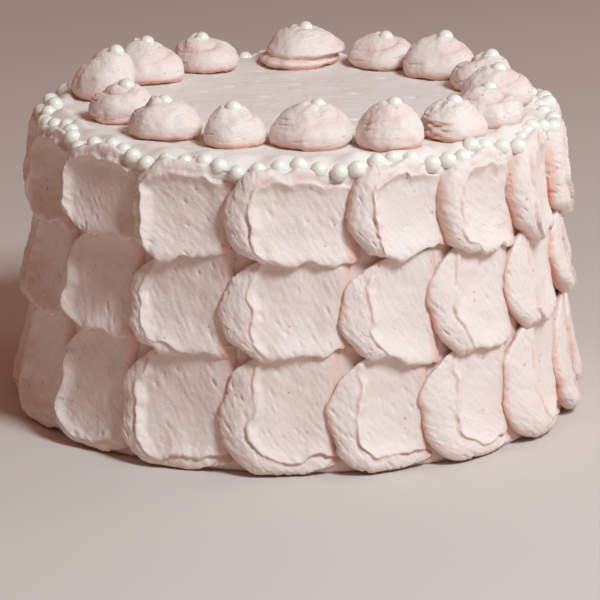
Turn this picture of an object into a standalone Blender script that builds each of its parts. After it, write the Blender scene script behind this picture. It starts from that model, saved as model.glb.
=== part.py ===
# Layer cake coated in pink whipped icing.
# Three rows of pressed icing petals cover the side, piped dollops ring the top,
# and sugar pearls lie along the top edge and on every dollop.
# Metres, +Z up, origin at the middle of the foot.

import math
import random

import bmesh
import bpy
import numpy as np

MM = 0.001

# Core of the cake under the petals
CORE_FOOT_RADIUS = 105.0 * MM
CORE_TAPER = 0.081
TOP_HEIGHT = 113.5 * MM
PLATEAU_RADIUS = 86.0 * MM
SHOULDER_WIDTH = 10.0 * MM
SHOULDER_DROP = 4.0 * MM
SIDE_DROP = 7.0 * MM
FOOT_ROUNDING = 1.5 * MM
CORE_STEPS = 51

# Petals of icing, one dot of icing pressed and drawn to the right for each
COLUMNS = 17
BEAD_HEIGHT = 6.8 * MM
SMEAR_HEIGHT = 8.2 * MM
SMEAR_END_HEIGHT = 1.2 * MM
ROUND_END = 16.0 * MM
OUTLINE_SQUARENESS = 2.5
RIM_BOW = 4.0 * MM
PETAL_TUCK = 5.0 * MM
TUCK_START = 0.4
PETAL_OVERLAP = 7.0 * MM
PETAL_DEPTH = 5.0 * MM
PETAL_RADIUS = 108.0 * MM
SECTION_SIDES = 6
OUTER_SHARE = 2.0 / 3.0
LIP_SQUARENESS = 0.5

# Each row: how much the face falls back towards its top, where along a petal its lip
# starts to rise or fall, and for the columns that differ from the rule, left edge angles
# in degrees, bead widths, and the heights of the bead's foot, of the smear's end and of
# the bead's crown, in mm
ROWS = (
    {
        "name": "top",
        "lean": 0.30,
        "rise_from": 0.35,
        "edges": (-80.0, -59.0, -37.0, -15.7, 10.1, 30.6, 51.4, 71.5),
        "beads": (7.0, 3.5, 5.0, 9.0, 8.0, 9.5, 15.0, 8.0),
        "feet": (78.0, 81.0, 76.5, 77.5, 78.0, 75.5, 74.0, 75.0),
        "ends": (80.0, 82.0, 83.0, 77.0, 82.0, 75.0, 76.0, 78.0),
        "crowns": (112.0, 112.0, 111.5, 110.5, 112.0, 111.0, 112.0, 111.0),
    },
    {
        "name": "middle",
        "lean": 0.65,
        "rise_from": 0.35,
        "edges": (-80.5, -58.7, -37.4, -16.3, 8.2, 27.8, 48.7, 70.0),
        "beads": (7.0, 3.5, 6.0, 10.5, 9.5, 11.0, 16.0, 9.0),
        "feet": (44.0, 45.0, 42.0, 43.0, 42.0, 40.0, 43.0, 47.0),
        "ends": (45.0, 45.0, 43.5, 46.0, 36.0, 41.0, 45.0, 45.0),
        "crowns": (78.0, 79.0, 77.0, 77.0, 75.0, 79.0, 78.0, 80.0),
    },
    {
        "name": "bottom",
        "lean": 0.65,
        "rise_from": 0.60,
        "edges": (-80.0, -58.6, -38.3, -15.9, 5.7, 25.1, 46.3, 68.0),
        "beads": (7.5, 4.0, 7.0, 11.0, 9.5, 13.0, 16.0, 10.0),
        "feet": (1.0, 1.2, 0.8, 0.8, 1.0, 0.8, 1.2, 1.0),
        "ends": (6.0, 5.5, 6.0, 6.5, 6.0, 5.0, 5.5, 5.5),
        "crowns": (42.0, 43.0, 42.0, 43.0, 41.0, 40.0, 42.0, 44.0),
    },
)

# The petals round the back follow the shown ones, with these limits to their unevenness:
# degrees for the edge, mm for the rest
EDGE_JITTER = 1.6
BEAD_LIMITS = (5.0, 13.0)
LIFT_LIMITS = (-2.0, 2.5)
CROWN_LIMITS = (-1.5, 1.0)

# Faces of the joined icing that turn less than this are merged
FLAT_ANGLE = math.radians(5.0)

# Sugar pearls
PEARL_RADIUS = 3.0 * MM
PEARL_RING_RADIUS = 94.0 * MM
PEARL_RING_HEIGHT = 112.3 * MM
PEARL_PITCH = 7.0 * MM
PEARL_WAVES = 16
PEARL_WAVE = 2.4 * MM
PEARL_WAVE_START = math.radians(10.5)
PEARL_FALL = 0.45
PEARL_SLIP = 0.07
PEARL_STRAY = 0.8 * MM
PEARL_DETAIL = 1
PEARL_SIDE = 1.0 * MM
PEARL_SINK = 1.6 * MM

# Dollops: angle, distance from the middle, width, height, and the lean of the peak along x and y
DOLLOP_GAP = 0.4 * MM
DOLLOPS = (
    (4.2, 65.5, 29.6, 15.4, 1.4, 0.7),
    (25.5, 76.0, 25.2, 16.7, 0.9, 0.5),
    (46.2, 77.5, 25.2, 13.8, -0.2, 1.2),
    (66.2, 77.5, 26.0, 14.5, -1.6, -1.0),
    (92.0, 75.0, 27.0, 14.0, -0.6, 0.6),
    (113.0, 76.0, 26.0, 13.6, 3.0, -0.6),
    (134.0, 76.0, 27.6, 16.0, 1.4, 0.3),
    (155.2, 77.0, 27.0, 12.6, 1.0, -0.7),
    (179.0, 74.0, 33.0, 15.2, 0.5, 0.7),
    (209.5, 73.0, 26.0, 13.5, -2.8, -0.7),
    (233.0, 71.5, 26.0, 15.8, -2.4, 1.1),
    (259.0, 75.0, 26.4, 18.5, 3.6, -0.6),
    (290.5, 70.2, 25.0, 13.5, 1.1, 0.5),
    (316.0, 69.0, 29.0, 13.3, -1.7, -0.2),
    (340.3, 69.0, 23.2, 14.0, -1.3, 1.6),
)
DOLLOP_SIDES = 11
DOLLOP_WAVE = 0.035
DOLLOP_CLIMB = 0.05
DOLLOP_TWIST = 0.8 * math.pi

ICING_COLOUR = (0.80, 0.62, 0.57, 1.0)
DOLLOP_COLOUR = (0.82, 0.62, 0.58, 1.0)
ICING_ROUGHNESS = 0.7
SHARP_ANGLE = math.radians(40.0)


def clear_scene():
    for thing in list(bpy.data.objects):
        bpy.data.objects.remove(thing, do_unlink=True)


def new_collection(name):
    collection = bpy.data.collections.new(name)
    bpy.context.scene.collection.children.link(collection)
    return collection


def icing_material(name, colour):
    material = bpy.data.materials.new(name)
    material.use_nodes = True
    shader = material.node_tree.nodes["Principled BSDF"]
    shader.inputs["Base Color"].default_value = colour
    shader.inputs["Roughness"].default_value = ICING_ROUGHNESS
    shader.inputs["Metallic"].default_value = 0.0
    return material


def object_from(bm, name, collection):
    mesh = bpy.data.meshes.new(name)
    bm.to_mesh(mesh)
    bm.free()
    thing = bpy.data.objects.new(name, mesh)
    collection.objects.link(thing)
    return thing


def core_radius(height):
    return CORE_FOOT_RADIUS - CORE_TAPER * height


# Core: a turned profile, from the middle of the top down its outer side

def core_profile():
    side_height = TOP_HEIGHT - SIDE_DROP
    return (
        (0.0, TOP_HEIGHT),
        (PLATEAU_RADIUS, TOP_HEIGHT),
        (PLATEAU_RADIUS + SHOULDER_WIDTH, TOP_HEIGHT - SHOULDER_DROP),
        (core_radius(side_height), side_height),
        (core_radius(FOOT_ROUNDING), FOOT_ROUNDING),
        (core_radius(0.0) - FOOT_ROUNDING, 0.0),
        (0.0, 0.0),
    )


def make_core(collection):
    mesh = bpy.data.meshes.new("core")
    points = [(x, 0.0, z) for x, z in core_profile()]
    edges = [(i, i + 1) for i in range(len(points) - 1)]
    mesh.from_pydata(points, edges, [])
    core = bpy.data.objects.new("core", mesh)
    collection.objects.link(core)
    screw = core.modifiers.new("turn", "SCREW")
    screw.steps = CORE_STEPS
    screw.render_steps = CORE_STEPS
    screw.use_merge_vertices = True
    screw.merge_threshold = 0.00005
    return core


# Petals: a ball drawn out along the side into a round bead and a thin smear

def petal_values(row, column, rng):
    count = len(row["edges"])
    if column < count:
        values = [row[key][column] for key in ("edges", "beads", "feet", "ends", "crowns")]
    else:
        first = row["edges"][0] + 360.0
        last = row["edges"][-1]
        pitch = (first - last) / (COLUMNS - count + 1)
        edge = last + pitch * (column - count + 1) + rng.uniform(-EDGE_JITTER, EDGE_JITTER)
        shown = 4 if row["name"] != "bottom" else 3
        lift = 0.0 if row["name"] == "bottom" else rng.uniform(*LIFT_LIMITS)
        values = [
            edge,
            rng.uniform(*BEAD_LIMITS),
            row["feet"][shown] + lift,
            row["ends"][0] + lift * 0.5,
            row["crowns"][0] + rng.uniform(*CROWN_LIMITS),
        ]
    return values


def petal_profile(bead, length):
    # Distance along the petal and how far its face stands out there: the bead rises to
    # the rim of the smear, which stands above it and falls away to the right
    return (
        (0.0, 0.0),
        (0.12 * bead + 0.3 * MM, 0.50 * BEAD_HEIGHT),
        (0.50 * bead + 0.5 * MM, 0.86 * BEAD_HEIGHT),
        (bead, BEAD_HEIGHT),
        (bead + 1.6 * MM, SMEAR_HEIGHT),
        (0.45 * length, 0.68 * SMEAR_HEIGHT),
        (0.66 * length, 0.44 * SMEAR_HEIGHT),
        (0.86 * length, SMEAR_END_HEIGHT),
        (length, 0.0),
    )


def section_angle(turn):
    share = (turn / (2.0 * math.pi)) % 1.0
    if share <= OUTER_SHARE:
        return math.pi * share / OUTER_SHARE
    return math.pi * (1.0 + (share - OUTER_SHARE) / (1.0 - OUTER_SHARE))


def bend_to_petal(bm, values, length, row, row_tuck):
    edge, bead, foot, end, crown = values
    bead *= MM
    stations, stands = zip(*petal_profile(bead, length))
    rings = len(stations) - 1
    for vert in bm.verts:
        x, y, z = vert.co
        ring = math.acos(max(-1.0, min(1.0, z))) / math.pi * rings
        along = float(np.interp(ring, range(rings + 1), stations))
        turn = section_angle(math.atan2(y, x))
        across = math.copysign(abs(math.cos(turn)) ** LIP_SQUARENESS, math.cos(turn))
        out = math.copysign(abs(math.sin(turn)) ** LIP_SQUARENESS, math.sin(turn))
        if ring < 0.01 or ring > rings - 0.01:
            across = 0.0
            out = 0.0
        lip = np.interp(along, (row["rise_from"] * length, length), (foot, end)) * MM
        tuck = min(1.0, max(0.0, along / ROUND_END - TUCK_START)) * row_tuck
        top = crown * MM + tuck
        before = max(0.0, 1.0 - along / ROUND_END)
        fill = (1.0 - before ** OUTLINE_SQUARENESS) ** (1.0 / OUTLINE_SQUARENESS)
        middle = 0.5 * (top + lip)
        height = middle + 0.5 * (top - lip) * fill * across
        fallen = 0.5 * (1.0 + across * fill)
        lean = 1.0 - row["lean"] * (1.0 - (1.0 - fallen) ** 2)
        if out >= 0.0:
            stand = float(np.interp(along, stations, stands)) * out * lean
        else:
            stand = PETAL_DEPTH * out
        bow = RIM_BOW * (across * fill) ** 2 * (1.0 - along / length)
        angle = math.radians(edge) + (along + bow) / PETAL_RADIUS
        radius = core_radius(height) + stand
        vert.co = (radius * math.sin(angle), -radius * math.cos(angle), height)


def make_petals(collection):
    rng = random.Random(11)
    for row in ROWS:
        row_tuck = 0.0 if row["name"] == "top" else PETAL_TUCK
        columns = [petal_values(row, column, rng) for column in range(COLUMNS)]
        for column, values in enumerate(columns):
            following = columns[(column + 1) % COLUMNS][0]
            span = math.radians((following - values[0]) % 360.0) * PETAL_RADIUS
            length = span + PETAL_OVERLAP
            bm = bmesh.new()
            rings = len(petal_profile(MM, length)) - 1
            bmesh.ops.create_uvsphere(bm, u_segments=SECTION_SIDES, v_segments=rings, radius=1.0)
            bend_to_petal(bm, values, length, row, row_tuck)
            bmesh.ops.recalc_face_normals(bm, faces=bm.faces)
            object_from(bm, "petal_%s_%02d" % (row["name"], column + 1), collection)


# Pearls along the top edge, in a wavy line, sunk a little in the icing

def edge_pearl_places():
    rng = random.Random(5)
    count = int(2.0 * math.pi * PEARL_RING_RADIUS / PEARL_PITCH)
    places = []
    for index in range(count):
        angle = 2.0 * math.pi * (index + rng.uniform(-PEARL_SLIP, PEARL_SLIP)) / count
        wave = PEARL_WAVE * math.cos(PEARL_WAVES * (angle - PEARL_WAVE_START))
        out = wave + rng.uniform(-PEARL_STRAY, PEARL_STRAY)
        radius = PEARL_RING_RADIUS + out
        height = PEARL_RING_HEIGHT - PEARL_FALL * out
        places.append((radius * math.sin(angle), -radius * math.cos(angle), height))
    return places


def make_edge_pearls(collection):
    for index, place in enumerate(edge_pearl_places()):
        bm = bmesh.new()
        bmesh.ops.create_icosphere(bm, subdivisions=PEARL_DETAIL, radius=PEARL_RADIUS)
        bmesh.ops.translate(bm, verts=bm.verts, vec=place)
        object_from(bm, "pearl_%02d" % (index + 1), collection)


# One Boolean union joins everything in a collection to one closed solid

def join_with(base, collection, solver):
    union = base.modifiers.new("union", "BOOLEAN")
    union.operation = "UNION"
    union.operand_type = "COLLECTION"
    union.collection = collection
    union.solver = solver
    depsgraph = bpy.context.evaluated_depsgraph_get()
    mesh = bpy.data.meshes.new_from_object(base.evaluated_get(depsgraph))
    base.modifiers.clear()
    base.data = mesh
    for thing in list(collection.objects):
        bpy.data.objects.remove(thing, do_unlink=True)


def keep_largest_shell(thing):
    bm = bmesh.new()
    bm.from_mesh(thing.data)
    bmesh.ops.dissolve_limit(
        bm, angle_limit=FLAT_ANGLE, use_dissolve_boundaries=False, verts=bm.verts, edges=bm.edges
    )
    bmesh.ops.triangulate(bm, faces=bm.faces)
    left = set(bm.verts)
    shells = []
    while left:
        seed = left.pop()
        shell = {seed}
        front = [seed]
        while front:
            vert = front.pop()
            for edge in vert.link_edges:
                other = edge.other_vert(vert)
                if other in left:
                    left.discard(other)
                    shell.add(other)
                    front.append(other)
        shells.append(shell)
    shells.sort(key=len, reverse=True)
    loose = [vert for shell in shells[1:] for vert in shell]
    bmesh.ops.delete(bm, geom=loose, context="VERTS")
    bm.to_mesh(thing.data)
    bm.free()


def make_cake_body(collection):
    joined = new_collection("icing_on_core")
    core = make_core(collection)
    core.name = "cake_body"
    make_petals(joined)
    make_edge_pearls(joined)
    join_with(core, joined, "EXACT")
    bpy.data.collections.remove(joined)
    keep_largest_shell(core)
    core.data.materials.clear()
    core.data.materials.append(icing_material("pink_icing", ICING_COLOUR))
    return core


# Dollops: soft mounds of piped icing, steep at the foot and drawn up to a blunt peak

def dollop_profile(width, height):
    # Distance from the middle and height above the foot, from peak to foot
    return (
        (0.0, height),
        (0.15 * width, 0.96 * height),
        (0.28 * width, 0.85 * height),
        (0.39 * width, 0.67 * height),
        (0.47 * width, 0.43 * height),
        (0.50 * width, 0.20 * height),
        (0.44 * width, 0.0),
        (0.0, 0.0),
    )


def dollop_point(ring, turn, profile, phase):
    reach, rise = profile[ring]
    wind = math.cos(turn + 2.0 * math.pi * phase + DOLLOP_TWIST * ring)
    reach *= 1.0 - DOLLOP_WAVE + DOLLOP_WAVE * wind
    if 0 < ring < len(profile) - 2:
        rise += DOLLOP_CLIMB * profile[0][1] * math.sin(turn + 2.0 * math.pi * phase)
    return reach, rise


def make_dollop(index, values, collection):
    angle, distance, width, height, lean_x, lean_y = values
    rng = random.Random(40 + index)
    phase = rng.random()
    name = "dollop_%02d" % index
    profile = dollop_profile(width * MM, height * MM)
    rings = len(profile) - 1
    bm = bmesh.new()
    bmesh.ops.create_uvsphere(bm, u_segments=DOLLOP_SIDES, v_segments=rings, radius=1.0)
    for vert in bm.verts:
        x, y, z = vert.co
        ring = round(math.acos(max(-1.0, min(1.0, z))) / math.pi * rings)
        turn = math.atan2(y, x)
        radius, rise = dollop_point(ring, turn, profile, phase)
        fallen_over = (rise / (height * MM)) ** 2
        vert.co = (
            radius * math.cos(turn) + lean_x * MM * fallen_over,
            radius * math.sin(turn) + lean_y * MM * fallen_over,
            rise,
        )
    bmesh.ops.recalc_face_normals(bm, faces=bm.faces)
    dollop = object_from(bm, name, collection)
    seat = new_collection(name + "_pearl")
    bm = bmesh.new()
    bmesh.ops.create_icosphere(bm, subdivisions=PEARL_DETAIL, radius=PEARL_RADIUS)
    bmesh.ops.translate(
        bm,
        verts=bm.verts,
        vec=(
            lean_x * MM + PEARL_SIDE,
            lean_y * MM,
            height * MM - PEARL_SINK,
        ),
    )
    object_from(bm, name + "_ball", seat)
    join_with(dollop, seat, "EXACT")
    bpy.data.collections.remove(seat)
    keep_largest_shell(dollop)
    turn = math.radians(angle)
    reach = distance * MM
    dollop.location = (
        reach * math.sin(turn),
        -reach * math.cos(turn),
        TOP_HEIGHT + DOLLOP_GAP,
    )
    dollop.data.materials.append(icing_material(name + "_icing", DOLLOP_COLOUR))
    return dollop


def main():
    clear_scene()
    cake = new_collection("layer_cake")
    make_cake_body(cake)
    for index, values in enumerate(DOLLOPS, start=1):
        make_dollop(index, values, cake)
    for thing in cake.objects:
        thing.data.shade_smooth()
        thing.data.set_sharp_from_angle(angle=SHARP_ANGLE)


main()
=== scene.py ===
import math
import random

import bpy
import numpy as np
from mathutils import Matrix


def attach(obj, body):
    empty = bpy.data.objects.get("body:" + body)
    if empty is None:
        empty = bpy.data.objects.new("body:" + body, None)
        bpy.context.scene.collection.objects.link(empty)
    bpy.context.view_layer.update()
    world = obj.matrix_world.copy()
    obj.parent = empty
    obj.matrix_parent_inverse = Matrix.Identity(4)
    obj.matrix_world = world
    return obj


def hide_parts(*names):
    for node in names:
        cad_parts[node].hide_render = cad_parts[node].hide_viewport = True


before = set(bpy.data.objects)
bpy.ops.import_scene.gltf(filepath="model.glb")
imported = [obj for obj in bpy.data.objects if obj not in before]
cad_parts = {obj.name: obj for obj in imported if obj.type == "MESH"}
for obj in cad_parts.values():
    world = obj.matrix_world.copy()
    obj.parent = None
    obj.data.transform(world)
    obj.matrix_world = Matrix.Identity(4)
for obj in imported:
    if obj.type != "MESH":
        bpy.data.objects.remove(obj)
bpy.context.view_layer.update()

MM = 0.001


# The coat
# The cake is a tall round sponge under one thick coat of pink whipped icing. The coat is
# spread with a long spatula: its top is drawn nearly flat, with faint streaks, and its
# upper edge is left soft, with low folds where the side icing is turned over it.

CORE_FOOT_RADIUS = 105.0 * MM
CORE_TAPER = 0.081
TOP_HEIGHT = 113.5 * MM
PLATEAU_RADIUS = 86.0 * MM
SHOULDER_DROP = 4.0 * MM
FOOT_ROUNDING = 1.5 * MM
SIDE_SETBACK = 2.5 * MM
KERB_RADIUS = 88.5 * MM
KERB_WIDTH = 2.2 * MM
KERB_OUTER_WIDTH = 7.0 * MM
KERB_HEIGHT = 1.9 * MM
SIDE_TOP = 100.0 * MM
SIDE_PAINTED_SHADE = 0.25
COAT_STEPS = 400
COAT_RING_PITCH = 1.0 * MM

ICING_LIGHT = (0.805, 0.705, 0.662)
# The deep colour is painted shade: the icing is mixed toward it in creases, grooves, air holes and
# under lips, where shade falls, and a little at random for tone
ICING_PAINTED_SHADE_AND_TONE = (0.720, 0.290, 0.200)
COAT_LIGHT = (0.850, 0.775, 0.735)


def core_radius(height):
    return CORE_FOOT_RADIUS - CORE_TAPER * height


def geometry_tree(name, sizes):
    tree = bpy.data.node_groups.new(name, "GeometryNodeTree")
    tree.interface.new_socket("Geometry", in_out="INPUT", socket_type="NodeSocketGeometry")
    for size, value in sizes.items():
        kind = "NodeSocketInt" if isinstance(value, int) else "NodeSocketFloat"
        socket = tree.interface.new_socket(size, in_out="INPUT", socket_type=kind)
        socket.default_value = value
    tree.interface.new_socket("Finish", in_out="INPUT", socket_type="NodeSocketMaterial")
    tree.interface.new_socket("Geometry", in_out="OUTPUT", socket_type="NodeSocketGeometry")
    return tree


def add_node(tree, kind, **settings):
    node = tree.nodes.new(kind)
    for key, value in settings.items():
        setattr(node, key, value)
    return node


def maths(tree, operation, first, second=None, third=None):
    node = add_node(tree, "ShaderNodeMath", operation=operation)
    for index, value in enumerate((first, second, third)):
        if value is None:
            continue
        if isinstance(value, (int, float)):
            node.inputs[index].default_value = value
        else:
            tree.links.new(value, node.inputs[index])
    return node.outputs[0]


def noise_about_zero(tree, place, size, detail):
    # Noise between about -1 and 1 whose features are size metres wide
    noise = add_node(tree, "ShaderNodeTexNoise", noise_dimensions="3D")
    noise.inputs["Detail"].default_value = detail
    tree.links.new(place, noise.inputs["Vector"])
    tree.links.new(maths(tree, "DIVIDE", 1.0, size), noise.inputs["Scale"])
    return maths(tree, "MULTIPLY_ADD", noise.outputs[0], 2.0, -1.0)


def squeezed_for_pits(tree, drawn):
    # Air holes dragged by the spatula are longer along its path than across it
    squeezed = add_node(tree, "ShaderNodeVectorMath", operation="MULTIPLY")
    tree.links.new(drawn.outputs["Attribute"], squeezed.inputs[0])
    squeezed.inputs[1].default_value = (0.40, 1.0, 1.0)
    return squeezed.outputs[0]


def whipped_relief():
    # Moves every point along its normal: soft lumps, small ripples, and streaks that
    # follow the spatula, whose path is kept in the "draw" attribute
    tree = geometry_tree(
        "whipped_relief",
        {
            "Lump Size": 0.009,
            "Lump Height": 0.0005,
            "Ripple Size": 0.0025,
            "Ripple Height": 0.00022,
            "Streak Length": 0.012,
            "Streak Width": 0.0012,
            "Streak Height": 0.0002,
            "Pit Spacing": 0.006,
            "Pit Depth": 0.0005,
        },
    )
    entry = add_node(tree, "NodeGroupInput")
    leave = add_node(tree, "NodeGroupOutput")
    place = add_node(tree, "GeometryNodeInputPosition").outputs[0]
    normal = add_node(tree, "GeometryNodeInputNormal").outputs[0]
    lumps = maths(
        tree, "MULTIPLY", noise_about_zero(tree, place, entry.outputs["Lump Size"], 1.0),
        entry.outputs["Lump Height"],
    )
    ripples = maths(
        tree, "MULTIPLY", noise_about_zero(tree, place, entry.outputs["Ripple Size"], 3.0),
        entry.outputs["Ripple Height"],
    )
    rough = add_node(tree, "GeometryNodeInputNamedAttribute", data_type="FLOAT")
    rough.inputs["Name"].default_value = "rough"
    ripples = maths(tree, "MULTIPLY", ripples, rough.outputs["Attribute"])
    drawn = add_node(tree, "GeometryNodeInputNamedAttribute", data_type="FLOAT_VECTOR")
    drawn.inputs["Name"].default_value = "draw"
    narrow = add_node(tree, "ShaderNodeCombineXYZ")
    ratio = maths(
        tree, "DIVIDE", entry.outputs["Streak Width"], entry.outputs["Streak Length"]
    )
    tree.links.new(ratio, narrow.inputs[0])
    narrow.inputs[1].default_value = 1.0
    narrow.inputs[2].default_value = 1.0
    squeezed = add_node(tree, "ShaderNodeVectorMath", operation="MULTIPLY")
    tree.links.new(drawn.outputs["Attribute"], squeezed.inputs[0])
    tree.links.new(narrow.outputs[0], squeezed.inputs[1])
    streaks = maths(
        tree, "MULTIPLY",
        noise_about_zero(tree, squeezed.outputs[0], entry.outputs["Streak Width"], 2.0),
        entry.outputs["Streak Height"],
    )
    cells = add_node(tree, "ShaderNodeTexVoronoi", voronoi_dimensions="3D", feature="F1")
    tree.links.new(squeezed_for_pits(tree, drawn), cells.inputs["Vector"])
    tree.links.new(maths(tree, "DIVIDE", 1.0, entry.outputs["Pit Spacing"]), cells.inputs["Scale"])
    chance = add_node(tree, "ShaderNodeSeparateXYZ")
    tree.links.new(cells.outputs["Color"], chance.inputs[0])
    pit_reach = maths(tree, "MULTIPLY_ADD", chance.outputs[0], 0.42, -0.04)
    nearness = maths(tree, "SUBTRACT", pit_reach, cells.outputs["Distance"])
    nearness = maths(tree, "MAXIMUM", maths(tree, "MULTIPLY", nearness, 5.0), 0.0)
    nearness = maths(tree, "MINIMUM", nearness, 1.0)
    pits = maths(tree, "MULTIPLY", nearness, entry.outputs["Pit Depth"])
    total = maths(tree, "ADD", maths(tree, "ADD", lumps, ripples), streaks)
    total = maths(tree, "SUBTRACT", total, pits)
    offset = add_node(tree, "ShaderNodeVectorMath", operation="SCALE")
    tree.links.new(normal, offset.inputs[0])
    tree.links.new(total, offset.inputs["Scale"])
    moved = add_node(tree, "GeometryNodeSetPosition")
    tree.links.new(entry.outputs["Geometry"], moved.inputs["Geometry"])
    tree.links.new(offset.outputs[0], moved.inputs["Offset"])
    grounded = add_node(tree, "GeometryNodeSetPosition")
    tree.links.new(moved.outputs[0], grounded.inputs["Geometry"])
    above = add_node(tree, "ShaderNodeVectorMath", operation="MAXIMUM")
    tree.links.new(add_node(tree, "GeometryNodeInputPosition").outputs[0], above.inputs[0])
    above.inputs[1].default_value = (-1.0, -1.0, 0.0)
    tree.links.new(above.outputs[0], grounded.inputs["Position"])
    realized = add_node(tree, "GeometryNodeRealizeInstances")
    tree.links.new(grounded.outputs[0], realized.inputs[0])
    finish = add_node(tree, "GeometryNodeSetMaterial")
    tree.links.new(realized.outputs[0], finish.inputs["Geometry"])
    tree.links.new(entry.outputs["Finish"], finish.inputs["Material"])
    tree.links.new(finish.outputs[0], leave.inputs[0])
    return tree


def shaped_by(piece, tree, material, **sizes):
    # Runs the tree on the piece once, and leaves a plain mesh
    modifier = piece.modifiers.new(tree.name, "NODES")
    modifier.node_group = tree
    wanted = {name.replace("_", " ").title(): value for name, value in sizes.items()}
    wanted["Finish"] = material
    for item in tree.interface.items_tree:
        if item.in_out == "INPUT" and item.name in wanted:
            modifier[item.identifier] = wanted[item.name]
    made_plain(piece)
    return piece


def made_plain(piece):
    depsgraph = bpy.context.evaluated_depsgraph_get()
    evaluated = piece.evaluated_get(depsgraph)
    mesh = bpy.data.meshes.new_from_object(evaluated)
    piece.modifiers.clear()
    piece.data = mesh
    mesh.name = piece.name


def shader_group(name, inputs, outputs):
    group = bpy.data.node_groups.new(name, "ShaderNodeTree")
    for label, kind in inputs:
        group.interface.new_socket(label, in_out="INPUT", socket_type=kind)
    for label, kind in outputs:
        group.interface.new_socket(label, in_out="OUTPUT", socket_type=kind)
    return group


def air_holes_group():
    # Whipped icing close up: a fine grain, and scattered small holes left by air
    group = shader_group(
        "whipped_grain",
        [("Place", "NodeSocketVector"), ("Grain Size", "NodeSocketFloat"),
         ("Hole Spacing", "NodeSocketFloat")],
        [("Height", "NodeSocketFloat"), ("Holes", "NodeSocketFloat"),
         ("Tone", "NodeSocketFloat")],
    )
    entry = add_node(group, "NodeGroupInput")
    leave = add_node(group, "NodeGroupOutput")
    place = entry.outputs["Place"]
    grain = noise_about_zero(group, place, entry.outputs["Grain Size"], 4.0)
    cells = add_node(group, "ShaderNodeTexVoronoi", voronoi_dimensions="3D", feature="F1")
    group.links.new(place, cells.inputs["Vector"])
    group.links.new(
        maths(group, "DIVIDE", 1.0, entry.outputs["Hole Spacing"]), cells.inputs["Scale"]
    )
    shade = add_node(group, "ShaderNodeSeparateColor")
    group.links.new(cells.outputs["Color"], shade.inputs[0])
    reach = maths(group, "MULTIPLY_ADD", shade.outputs[0], 0.9, -0.68)
    near = maths(group, "SUBTRACT", reach, cells.outputs["Distance"])
    holes = maths(group, "MULTIPLY", near, 14.0)
    holes = maths(group, "MINIMUM", maths(group, "MAXIMUM", holes, 0.0), 1.0)
    height = maths(group, "SUBTRACT", maths(group, "MULTIPLY", grain, 0.30), holes)
    tone = noise_about_zero(group, place, 0.016, 2.0)
    group.links.new(height, leave.inputs["Height"])
    group.links.new(holes, leave.inputs["Holes"])
    group.links.new(tone, leave.inputs["Tone"])
    return group


GRAIN = air_holes_group()


def mixed_colour(tree, amount, first, second):
    mix = add_node(tree, "ShaderNodeMix", data_type="RGBA")
    for socket, value in ((mix.inputs[6], first), (mix.inputs[7], second)):
        if isinstance(value, tuple):
            socket.default_value = (*value, 1.0)
        else:
            tree.links.new(value, socket)
    tree.links.new(amount, mix.inputs[0])
    return mix.outputs[2]


def icing(name, light, shade_and_tone_colour, grain_size, hole_spacing, grain_height):
    material = bpy.data.materials.new(name)
    material.use_nodes = True
    tree = material.node_tree
    shader = tree.nodes["Principled BSDF"]
    place = add_node(tree, "ShaderNodeTexCoord").outputs["Object"]
    grain = add_node(tree, "ShaderNodeGroup", node_tree=GRAIN)
    tree.links.new(place, grain.inputs["Place"])
    grain.inputs["Grain Size"].default_value = grain_size
    grain.inputs["Hole Spacing"].default_value = hole_spacing
    # Painted shade: the crease attribute and the air holes darken the colour toward the deep colour, in
    # place of shade in creases and holes; the tone adds a random variation
    crease = add_node(tree, "ShaderNodeAttribute", attribute_name="crease")
    holes = maths(tree, "MULTIPLY", grain.outputs["Holes"], 0.45)
    tone = maths(tree, "MULTIPLY_ADD", grain.outputs["Tone"], 0.08, 0.04)
    shade_and_tone = maths(tree, "ADD", crease.outputs["Fac"], holes)
    shade_and_tone = maths(tree, "ADD", shade_and_tone, tone)
    shade_and_tone = maths(tree, "MINIMUM", maths(tree, "MAXIMUM", shade_and_tone, 0.0), 1.0)
    tree.links.new(mixed_colour(tree, shade_and_tone, light, shade_and_tone_colour), shader.inputs["Base Color"])
    bump = add_node(tree, "ShaderNodeBump")
    bump.inputs["Distance"].default_value = grain_height
    tree.links.new(grain.outputs["Height"], bump.inputs["Height"])
    tree.links.new(bump.outputs[0], shader.inputs["Normal"])
    shader.inputs["Roughness"].default_value = 0.62
    shader.inputs["Specular IOR Level"].default_value = 0.35
    shader.inputs["Subsurface Weight"].default_value = 0.25
    shader.inputs["Subsurface Radius"].default_value = (1.0, 0.42, 0.30)
    shader.inputs["Subsurface Scale"].default_value = 0.0022
    return material


def mesh_piece(name, points, faces, attributes):
    mesh = bpy.data.meshes.new(name)
    mesh.from_pydata(points.tolist(), [], faces)
    for label, values in attributes.items():
        kind = "FLOAT_VECTOR" if values.ndim == 2 else "FLOAT"
        layer = mesh.attributes.new(label, kind, "POINT")
        key = "vector" if values.ndim == 2 else "value"
        layer.data.foreach_set(key, values.astype(np.float32).ravel())
    mesh.shade_smooth()
    piece = bpy.data.objects.new(name, mesh)
    bpy.context.scene.collection.objects.link(piece)
    return piece


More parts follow.
